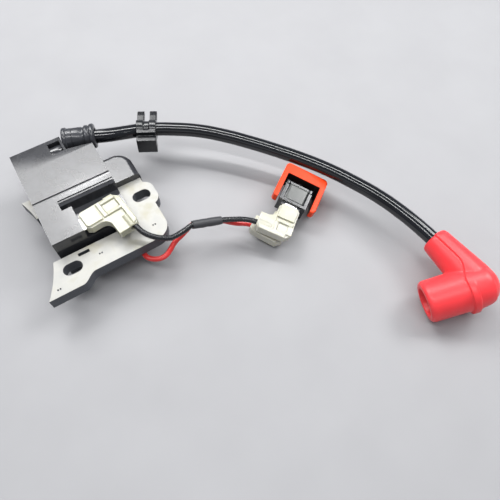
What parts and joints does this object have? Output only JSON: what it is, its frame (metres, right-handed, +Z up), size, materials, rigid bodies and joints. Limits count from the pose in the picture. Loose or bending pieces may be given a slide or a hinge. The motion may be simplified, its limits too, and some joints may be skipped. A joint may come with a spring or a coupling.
{
  "type": "ignition coil",
  "caption": "Potted coil on a U-shaped laminated core with a high-tension lead, right-angled plug boot and wires to a push stop switch.",
  "frame": {"origin": "middle of the coil module's footprint on the bench, without the lead, wires and what is on them", "axes": "+Z up, +Y along the core's legs from the pole faces to the yoke, +X from the coil's leg to the outer leg"},
  "size_m": [0.1834, 0.176, 0.0312],
  "materials": {
    "core_steel": "zinc-plated silicon steel, satin",
    "black_plastic": "satin moulded plastic",
    "resin": "gloss potting resin",
    "bobbin_nylon": "natural nylon",
    "copper": "enamelled copper wire",
    "component_plastic": "moulded component bodies",
    "circuit_board": "glass-fibre board",
    "brass_pin": "tinned brass",
    "black_rubber": "satin rubber",
    "lead_jacket": "gloss PVC jacket",
    "clip_nylon": "gloss nylon",
    "red_rubber": "satin silicone rubber",
    "tinned_steel": "tinned steel",
    "cream_nylon": "translucent natural nylon",
    "black_pvc": "gloss PVC",
    "red_pvc": "gloss PVC",
    "shrink_sleeve": "matte shrink tube",
    "grey_plastic": "gloss dark grey plastic",
    "orange_plastic": "satin orange plastic",
    "spring_steel": "spring steel"
  },
  "bodies": {
    "coil_and_leads": {"core_laminations": "core_steel", "coil_housing": "black_plastic", "potting_compound": "resin", "primary_bobbin": "bobbin_nylon", "primary_winding": "copper", "secondary_bobbin": "bobbin_nylon", "secondary_winding": "copper", "storage_capacitor": "component_plastic", "igniter_board": "circuit_board", "igniter_components": "component_plastic", "ht_pin": "brass_pin", "ht_grommet": "black_rubber", "ht_lead": "lead_jacket", "cable_clip": "clip_nylon", "spark_plug_boot": "red_rubber", "plug_terminal_clip": "tinned_steel", "lead_spike": "brass_pin", "coil_blade": "tinned_steel", "coil_receptacle": "brass_pin", "coil_flag_cover": "cream_nylon", "ground_tab": "tinned_steel", "ground_rivet": "tinned_steel", "black_wire": "black_pvc", "red_wire": "red_pvc", "wire_sleeve": "shrink_sleeve", "upper_receptacle": "brass_pin", "upper_flag_cover": "cream_nylon", "lower_receptacle": "brass_pin", "lower_flag_cover": "cream_nylon", "upper_blade": "tinned_steel", "lower_blade": "tinned_steel", "switch_body": "black_plastic", "switch_lid": "grey_plastic", "return_spring": "spring_steel"},
    "stop_button": {"switch_cap": "orange_plastic", "contact_bridge": "brass_pin"}
  },
  "joints": [
    {"name": "stop_button_push", "type": "slide", "parent": "coil_and_leads", "child": "stop_button", "axis": [0.5779, -0.8161, 0], "range_m": [0, 0.0025], "stiffness_N_per_m": 400, "springref_m": -0.004, "deforming": ["return_spring"]}
  ]
}
